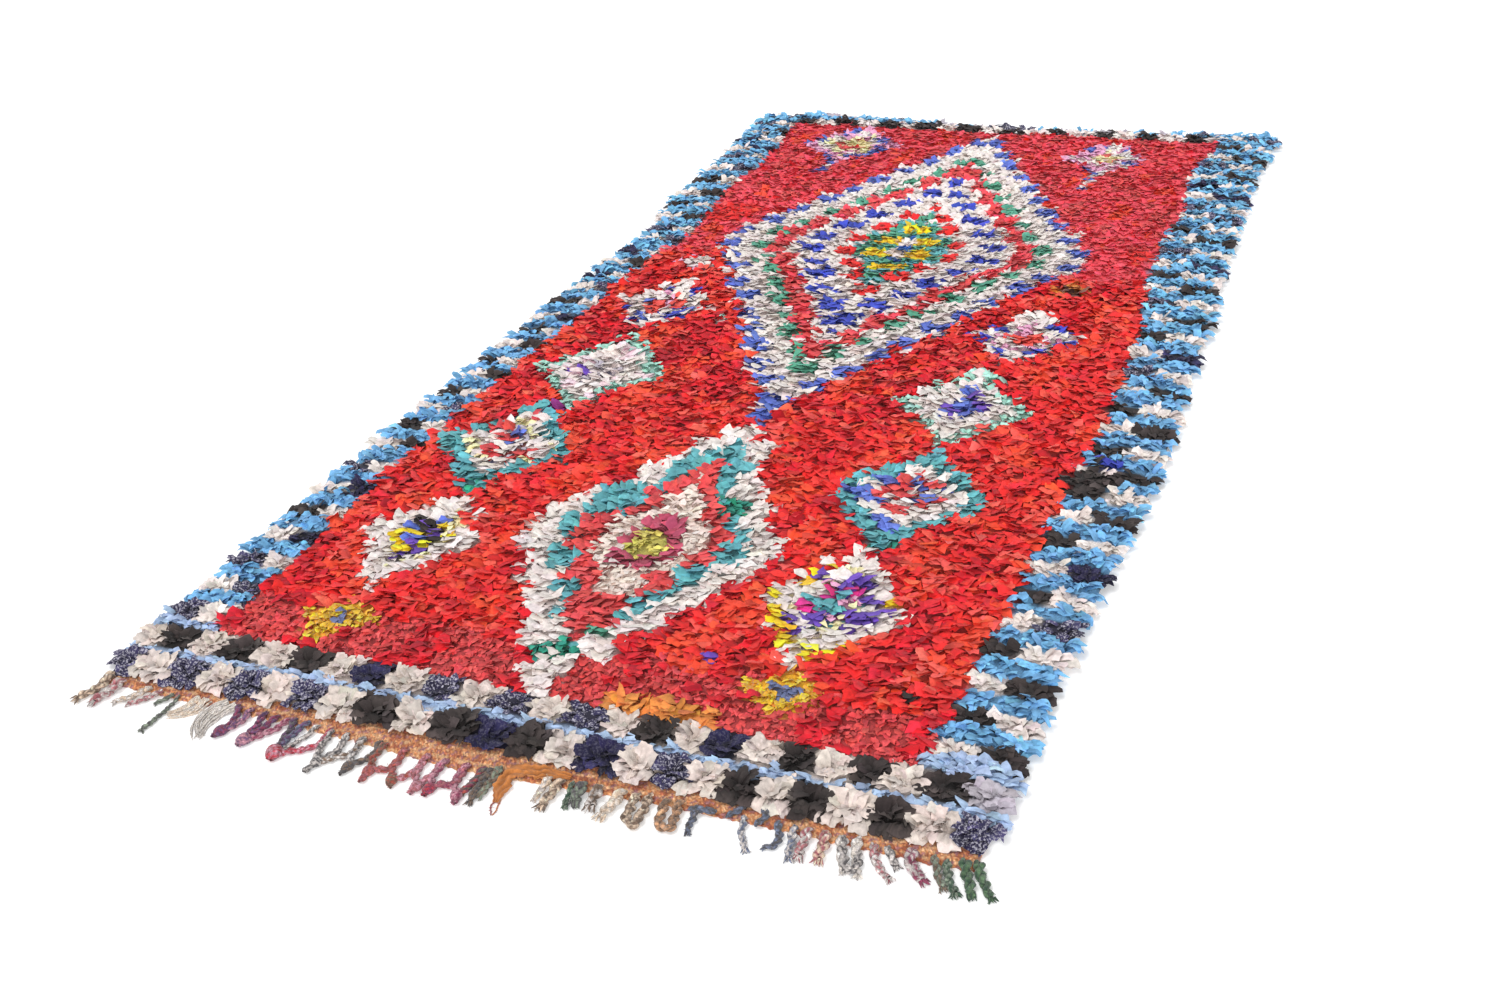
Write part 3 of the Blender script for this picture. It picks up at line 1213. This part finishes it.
def fringe_pieces(material):
    """The fringe: loose warp ends, uncut loops and the netted stretch with its knots."""
    loose = Yarn(21)
    loose.cords(LOOSE_CORDS, frayed=True)
    for first, second, width, tip, route in LOCKS:
        loose.lock((first, second), width, tip, route)
    loose.cords(RAG_STRANDS)
    loops = Yarn(22)
    loops.cords(LOOP_CORDS)
    net = Yarn(23)
    net.cords(NET_LEGS + NET_BARS)
    for first, second, x, y, size, tail in NET_KNOTS:
        net.knot((first, second), x, y, size, tail)
    return [
        loose.piece("fringe_loose", material),
        loops.piece("fringe_loops", material),
        net.piece("fringe_netted", material),
    ]


def closed_sheet(name, top, under, colours, material):
    """A sheet with an upper and a lower face, joined round its rim."""
    rows, columns = top.shape[:2]
    count = rows * columns
    one = np.arange(count).reshape(rows, columns)
    upper = np.stack([one[:-1, :-1], one[1:, :-1], one[1:, 1:], one[:-1, 1:]], -1).reshape(-1, 4)
    lower = upper[:, ::-1] + count
    rim = np.concatenate([one[0, :], one[1:, -1], one[-1, -2::-1], one[-2:0:-1, 0]])
    after = np.roll(rim, -1)
    wall = np.stack([rim, after, after + count, rim + count], -1)
    points = np.concatenate([top.reshape(-1, 3), under.reshape(-1, 3)])
    shades = np.tile(colours.reshape(-1, 4), (2, 1))
    return mesh_object(name, points, np.concatenate([upper, lower, wall]), shades, material)


def end_weave(material):
    """The flat-woven end: ridges of weft yarn that pass over and under the warps."""
    rng = np.random.default_rng(31)
    columns, rows = 600, 25
    x = np.linspace(-WEAVE_HALF, WEAVE_HALF, columns)
    across = np.linspace(0, 1, rows)
    inner = table(ENDS, x, 1) + WEAVE_UNDER
    outer = table(ENDS, x, 2) + 0.0016 * drift(x, x * 0, 32, 0.010)
    y = inner[None, :] + (outer - inner)[None, :] * across[:, None]
    xs = np.broadcast_to(x, y.shape)
    weft = across[:, None] * WEFTS
    ridge = np.cos(weft * 2 * math.pi)
    over = np.cos(xs * 2 * math.pi / WARP_PITCH + np.floor(weft + 0.5) * math.pi)
    relief = 0.0006 * ridge + 0.0005 * over * (0.5 + 0.5 * ridge) + rng.normal(0, 0.00045, y.shape)
    edge = np.minimum(1, (1 - across) / 0.08)[:, None]
    top = np.stack([xs, y + rng.normal(0, 0.0002, y.shape), 0.0022 + 0.0014 * edge + relief], -1)
    under = np.stack([xs, y, np.full(y.shape, 0.0006)], -1)
    tone = drift(xs, np.floor(weft + 0.5) * 0.02, 33, 0.05) + 0.5 * over + rng.normal(0, 0.45, y.shape)
    colours = np.zeros(y.shape + (4,))
    colours[..., :3] = linear(COLOURS["weft_orange"])
    for where, name in (
        (tone > 0.45, "weft_peach"),
        (tone < -0.60, "weft_rust"),
        (drift(xs, y, 34, 0.011) > 0.75, "weft_pink"),
    ):
        colours[where, :3] = linear(COLOURS[name])
    colours[..., :3] *= np.exp(rng.normal(0, 0.24, y.shape))[..., None]
    return closed_sheet("end_weave", top, under, colours, material)


def ground_weave(material):
    """The woven ground under the pile, with the backs of the knot rows as ridges on its underside."""
    columns, rows = 61, 256
    along = np.linspace(0, 1, rows)[:, None]
    across = np.linspace(0, 1, columns)[None, :]
    y = GROUND_FROM + GROUND_LENGTH * along + 0 * across
    left = table(SIDES, y, 1)
    right = table(SIDES, y, 2)
    x = left + (right - left) * across
    front = table(ENDS, x, 1) + GROUND_INSET
    far = table(ENDS, x, 3)
    y = front + (far - front) * along
    ridge = np.where(np.arange(rows) % 2 == 0, 1.0, 0.0)[:, None]
    turns = np.arange(columns)[None, :] + (np.arange(rows) // 2)[:, None]
    relief = ridge * np.where(turns % 2 == 0, 1.0, 0.3)
    under = np.stack([x, y, 0.0014 - 0.0010 * relief], -1)
    rim = np.minimum(np.minimum(x - left, right - x), np.minimum(y - front, far - y))
    packed = PACKED_TOP + 0.0015 * relief - 0.0010 * (y > FINE_FROM)
    rising = np.clip((rim - 0.004) / RIM_WIDTH, 0, 1)
    top = np.stack([x, y, GROUND_TOP + (packed - GROUND_TOP) * rising], -1)
    colours = np.zeros((rows, columns, 4))
    deep = PALETTE * deep_shares()[:, None]
    colours[..., :3] = deep[painted(x.ravel(), y.ravel()).code].reshape(rows, columns, 3)
    return closed_sheet("ground_weave", top, under, colours, material)


def rag_tie(material):
    """The orange rag: a torn strip, creased along and curled at its edges, with a limp tail."""
    rng = np.random.default_rng(41)
    columns = 19
    rows = np.array(RAG)
    line = smooth(rows[:, :2], 0.0016)
    chord = distances(rows[:, :2])
    at = np.linspace(0, chord[-1], len(line))
    low = np.interp(at, chord, rows[:, 2])[:, None]
    half = np.interp(at, chord, rows[:, 3]) * (1 + 0.14 * np.sin(at * 190) + 0.10 * np.sin(at * 611))
    half = (half * np.exp(rng.normal(0, 0.05, len(half))))[:, None]
    _, side = directions(line)
    at = at[:, None]
    u = np.linspace(-1, 1, columns)[None, :]
    sway = 3.6 * np.sin(at * 60) + 1.3 * np.sin(at * 230)
    pull = 0.65 + 0.35 * np.sin(at * 130 + 2)
    creases = 0.5 + 0.5 * pull * np.cos(u * (7.5 + 3.5 * np.sin(at * 45 + 1)) + sway)
    cross = np.sin(at * 300 + u * 4 + 2 * np.sin(u * 3))
    lift = 0.0032 * creases**0.7 + 0.0010 * u**2 + 0.0011 * cross * (1 - u**2)
    lift = (lift + rng.normal(0, 0.00018, lift.shape)) * np.minimum(1, half / 0.006)
    under = np.zeros((len(line), columns, 3))
    under[..., :2] = line[:, None, :] + side[:, None, :] * (half * u)[..., None]
    under[..., 2] = low + lift + 0.0002
    colours = np.zeros((len(line), columns, 4))
    worn = (0.55 + 0.50 * creases) * (0.90 + 0.12 * np.sin(at * 95 + 1) * np.cos(u * 2.3))
    shades = np.exp(rng.normal(0, 0.07, worn.shape)) * worn
    colours[..., :3] = linear(COLOURS["rag_orange"]) * shades[..., None]
    return closed_sheet("rag_tie", under + np.array((0, 0, RAG_THICKNESS)), under, colours, material)


def node(tree, kind, at, **values):
    """A shader node at its place in the editor, with its inputs or its settings."""
    made = tree.nodes.new(kind)
    made.location = at
    for key, value in values.items():
        if key in made.inputs:
            made.inputs[key].default_value = value
        else:
            setattr(made, key, value)
    return made


def ramp(tree, at, value, low, high, to_low=0.0, to_high=1.0):
    """The value as it goes from low to high, mapped to another range."""
    made = node(tree, "ShaderNodeMapRange", at)
    made.inputs["From Min"].default_value = low
    made.inputs["From Max"].default_value = high
    made.inputs["To Min"].default_value = to_low
    made.inputs["To Max"].default_value = to_high
    tree.links.new(value, made.inputs["Value"])
    return made.outputs["Result"]


def cloth(name, roughness, wrinkle_scale, wrinkle_depth, sheen, mottle_scale, mottle_depth):
    """Rag cloth: the colour of each rag with faint mottling, a print on the printed rags, and creases."""
    material = bpy.data.materials.new(name)
    material.use_nodes = True
    tree = material.node_tree
    link = tree.links.new
    shader = tree.nodes["Principled BSDF"]
    shader.inputs["Sheen Weight"].default_value = sheen
    shader.inputs["Sheen Roughness"].default_value = 0.6
    shader.inputs["Specular IOR Level"].default_value = 0.15
    tint = node(tree, "ShaderNodeAttribute", (-900, 200), attribute_name="tint")
    place = node(tree, "ShaderNodeTexCoord", (-1300, -100)).outputs["Object"]

    print_noise = node(tree, "ShaderNodeTexNoise", (-1100, 100), Scale=320.0, Detail=3.0)
    link(place, print_noise.inputs["Vector"])
    amount = node(tree, "ShaderNodeMath", (-700, 0), operation="MULTIPLY")
    link(ramp(tree, (-900, 0), print_noise.outputs["Fac"], 0.50, 0.64), amount.inputs[0])
    link(tint.outputs["Alpha"], amount.inputs[1])
    printed = node(tree, "ShaderNodeMixRGB", (-500, 150), Color2=PRINT_COLOUR)
    link(amount.outputs["Value"], printed.inputs["Fac"])
    link(tint.outputs["Color"], printed.inputs["Color1"])

    mottle_noise = node(tree, "ShaderNodeTexNoise", (-900, -250), Scale=mottle_scale, Detail=3.0)
    link(place, mottle_noise.inputs["Vector"])
    mottle = mottle_noise.outputs["Fac"]
    mixed = node(tree, "ShaderNodeMixRGB", (-300, 150), blend_type="MULTIPLY", Fac=1.0)
    tone = ramp(tree, (-700, -250), mottle, 0.3, 0.7, 1 - mottle_depth, 1 + 0.6 * mottle_depth)
    link(printed.outputs["Color"], mixed.inputs["Color1"])
    link(tone, mixed.inputs["Color2"])
    link(mixed.outputs["Color"], shader.inputs["Base Color"])
    worn = ramp(tree, (-500, -250), mottle, 0.3, 0.7, roughness - 0.12, roughness + 0.04)
    link(worn, shader.inputs["Roughness"])

    wrinkles = node(
        tree, "ShaderNodeTexNoise", (-700, -500), Scale=wrinkle_scale, Detail=4.0, Roughness=0.6
    )
    link(place, wrinkles.inputs["Vector"])
    bump = node(tree, "ShaderNodeBump", (-300, -400), Strength=0.8, Distance=wrinkle_depth)
    link(wrinkles.outputs["Fac"], bump.inputs["Height"])
    link(bump.outputs["Normal"], shader.inputs["Normal"])
    return material


def studio():
    """A plain pale floor and a low pale wall far round it, both staged."""
    bpy.ops.mesh.primitive_plane_add(size=60, location=(0, 6, 0))
    floor = bpy.context.object
    floor.name = "studio_floor"
    bpy.ops.mesh.primitive_cylinder_add(
        vertices=96,
        radius=WALL_RADIUS,
        depth=WALL_HEIGHT,
        end_fill_type="NOTHING",
        location=(0, 0, WALL_HEIGHT / 2),
    )
    wall = bpy.context.object
    wall.name = "studio_wall"
    for piece, glow in ((floor, FLOOR_GLOW), (wall, WALL_GLOW)):
        material = bpy.data.materials.new(piece.name)
        material.use_nodes = True
        shader = material.node_tree.nodes["Principled BSDF"]
        shader.inputs["Base Color"].default_value = (0.95, 0.95, 0.95, 1)
        shader.inputs["Roughness"].default_value = 0.9
        shader.inputs["Specular IOR Level"].default_value = 0.1
        shader.inputs["Emission Color"].default_value = (1, 1, 1, 1)
        shader.inputs["Emission Strength"].default_value = glow
        piece.data.materials.append(material)


def light():
    """Two soft suns and an even white sky."""
    for name, place, power, spread in SUNS:
        sun = bpy.data.lights.new(name, "SUN")
        sun.energy = power
        sun.angle = math.radians(spread)
        lamp = bpy.data.objects.new(name, sun)
        lamp.location = place
        lamp.rotation_euler = (-Vector(place)).to_track_quat("-Z", "Y").to_euler()
        bpy.context.scene.collection.objects.link(lamp)
    world = bpy.data.worlds.new("studio")
    world.use_nodes = True
    world.node_tree.nodes["Background"].inputs["Color"].default_value = (1, 1, 1, 1)
    world.node_tree.nodes["Background"].inputs["Strength"].default_value = SKY
    bpy.context.scene.world = world
    bpy.context.scene.view_settings.view_transform = "Standard"


def camera():
    """The camera at the photograph's place, as fitted to the rug's edges."""
    data = bpy.data.cameras.new("camera")
    data.lens = CAMERA_LENS
    data.sensor_width = 36
    obj = bpy.data.objects.new("camera", data)
    turn = Matrix((CAMERA_RIGHT, CAMERA_UP, -CAMERA_AHEAD)).transposed().to_4x4()
    obj.matrix_world = Matrix.Translation(CAMERA_PLACE) @ turn
    bpy.context.scene.collection.objects.link(obj)
    bpy.context.scene.camera = obj


def declare(pieces, solid):
    """Each piece rides with the rug, stands for its solid and takes that solid's slot."""
    for piece in pieces:
        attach(piece, "root")
        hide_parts(solid)


def main():
    """The camera, the studio, the rug's pieces, and what each of them stands for."""
    camera()
    studio()
    light()
    rag_cloth, wool, cotton, jersey = (cloth(name, *looks) for name, looks in CLOTHS.items())
    pile = pile_pieces(rag_cloth)
    ground = ground_weave(cotton)
    weave = end_weave(cotton)
    fringe = fringe_pieces(wool)
    rag = rag_tie(jersey)
    declare(pile + [ground], "rug_pile")
    declare(fringe + [weave], "end_weave_fringe")
    declare([rag], "orange_rag")


main()
